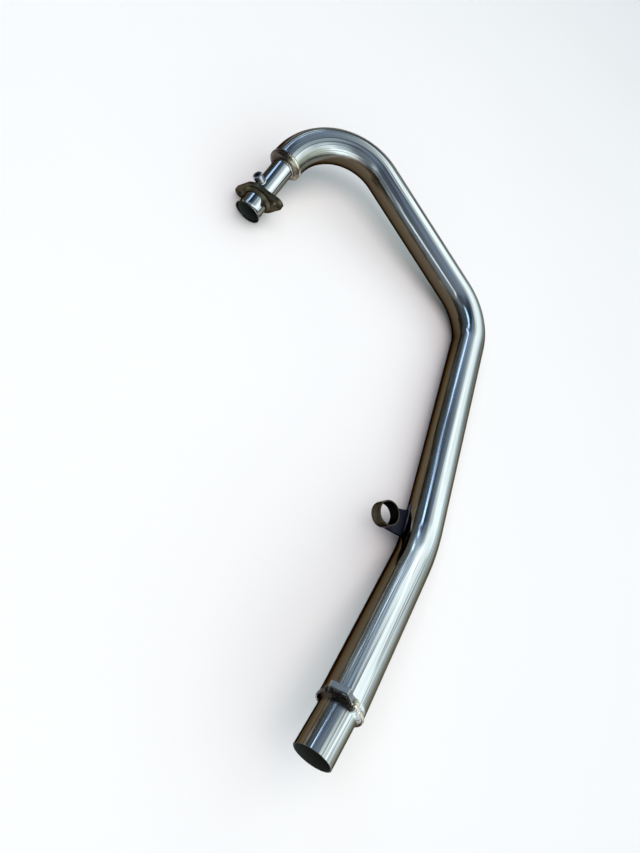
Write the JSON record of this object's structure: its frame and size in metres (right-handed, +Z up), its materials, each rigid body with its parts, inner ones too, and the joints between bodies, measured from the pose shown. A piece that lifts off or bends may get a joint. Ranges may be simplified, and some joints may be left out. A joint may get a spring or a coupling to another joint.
{
  "type": "motorcycle exhaust header",
  "caption": "Bent stainless exhaust header pipe with a bolted inlet flange, sensor boss, hanger tab with ring, and a reduced slip-on outlet end.",
  "frame": {"origin": "bottom centre of the bounding box, at floor level, with the header lying at rest", "axes": "+X along the long straight run towards the outlet, +Z up, the inlet end at -X -Y"},
  "size_m": [0.823, 0.438, 0.1098],
  "materials": {
    "tube_steel": "polished stainless with fine lengthwise streaks",
    "cap_steel": "polished stainless",
    "neck_steel": "mirror-like drawn tube",
    "sleeve_steel": "mirror-like turned",
    "flange_steel": "dull machined steel",
    "boss_steel": "machined",
    "spigot_steel": "polished stainless",
    "hanger_steel": "dull, heat darkened",
    "bridge_steel": "matte grey",
    "weld_steel": "rippled bead, straw tint",
    "weld_dark": "rippled bead, blue and purple tint"
  },
  "bodies": {
    "root": {"main_tube": "tube_steel", "inlet_cap": "cap_steel", "neck_tube": "neck_steel", "inlet_sleeve": "sleeve_steel", "head_flange": "flange_steel", "sensor_boss": "boss_steel", "outlet_spigot": "spigot_steel", "hanger_ring": "hanger_steel", "hanger_strap": "hanger_steel", "stop_bridge": "bridge_steel", "cap_weld": "weld_steel", "neck_weld": "weld_steel", "flange_weld": "weld_steel", "boss_weld": "weld_steel", "outlet_weld": "weld_steel", "strap_weld": "weld_dark", "ring_weld": "weld_dark", "bridge_weld_left": "weld_steel", "bridge_weld_right": "weld_steel"}
  },
  "joints": []
}
